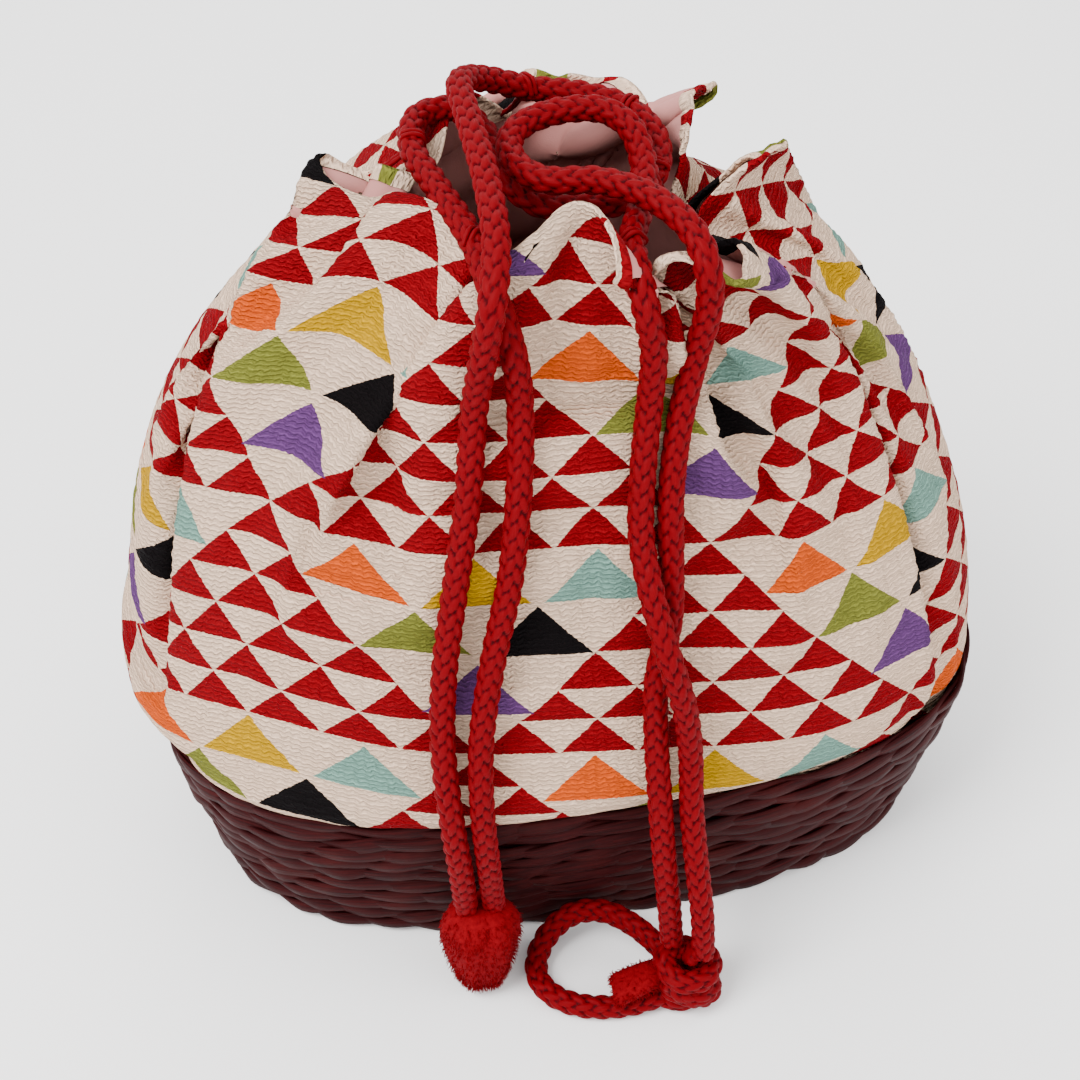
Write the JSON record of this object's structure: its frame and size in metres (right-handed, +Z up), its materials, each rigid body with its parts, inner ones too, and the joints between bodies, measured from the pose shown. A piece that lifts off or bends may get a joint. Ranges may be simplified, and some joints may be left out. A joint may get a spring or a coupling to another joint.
{
  "type": "kinchaku drawstring pouch",
  "caption": "Japanese drawstring pouch: a gathered printed crepe bag sewn into a low woven oval basket base, closed by two round braided drawcords.",
  "frame": {"origin": "middle of the basket's underside, on the surface it stands on", "axes": "+X along the basket's long side, -Y to the front where the cords' ends hang, +Z up through the mouth"},
  "size_m": [0.2345, 0.1747, 0.2184],
  "materials": {
    "basket": "dark reddish brown lacquered strips, satin",
    "cloth": "crinkled crepe cotton, cream with red and coloured triangles",
    "lining": "plain greyish pink cotton",
    "cord": "round braided red cord, soft sheen",
    "fuzz": "frayed red fibre, matt"
  },
  "bodies": {
    "root": {"basket_wall": "basket", "basket_floor": "basket", "basket_rim": "basket", "outer_cloth_front": "cloth", "outer_cloth_back": "cloth", "lining_cloth": "lining", "draw_cord_left": "cord", "draw_cord_right": "cord", "end_loop_right": "cord", "cord_loop_01": "cord", "cord_loop_02": "cord", "cord_loop_03": "cord", "cord_loop_04": "cord", "cord_loop_05": "cord", "cord_loop_06": "cord", "cord_loop_07": "cord", "end_tassel_left": "fuzz", "end_knot_right": "cord", "end_tab_right": "fuzz"}
  },
  "joints": []
}
